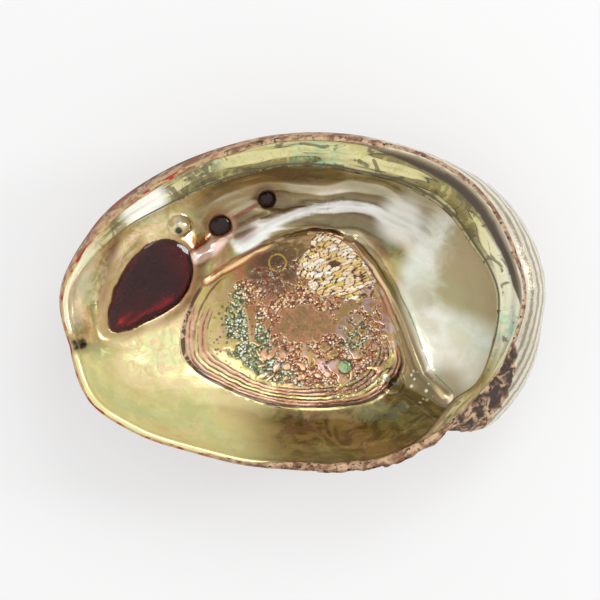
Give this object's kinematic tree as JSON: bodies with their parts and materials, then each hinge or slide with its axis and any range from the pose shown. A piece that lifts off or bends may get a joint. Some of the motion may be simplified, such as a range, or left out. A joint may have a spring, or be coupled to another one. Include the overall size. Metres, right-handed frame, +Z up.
{
  "type": "abalone shell",
  "caption": "Ear-shaped sea shell lying mouth up: a deep nacre-lined bowl with a broad inner shelf, a low spire, and dark red resin set in its breathing holes.",
  "frame": {"origin": "middle of the shell's box in plan, at the level of the surface it lies on", "axes": "+X from the growing edge to the spire, +Y towards the inner shelf, +Z up out of the mouth"},
  "size_m": [0.1818, 0.1268, 0.05],
  "materials": {
    "nacre": "polished iridescent mother-of-pearl, rough outside",
    "red_resin": "clear dark red, glossy"
  },
  "bodies": {
    "root": {"shell": "nacre", "resin_pool": "red_resin", "resin_plug_large": "red_resin", "resin_plug_small": "red_resin"}
  },
  "joints": []
}
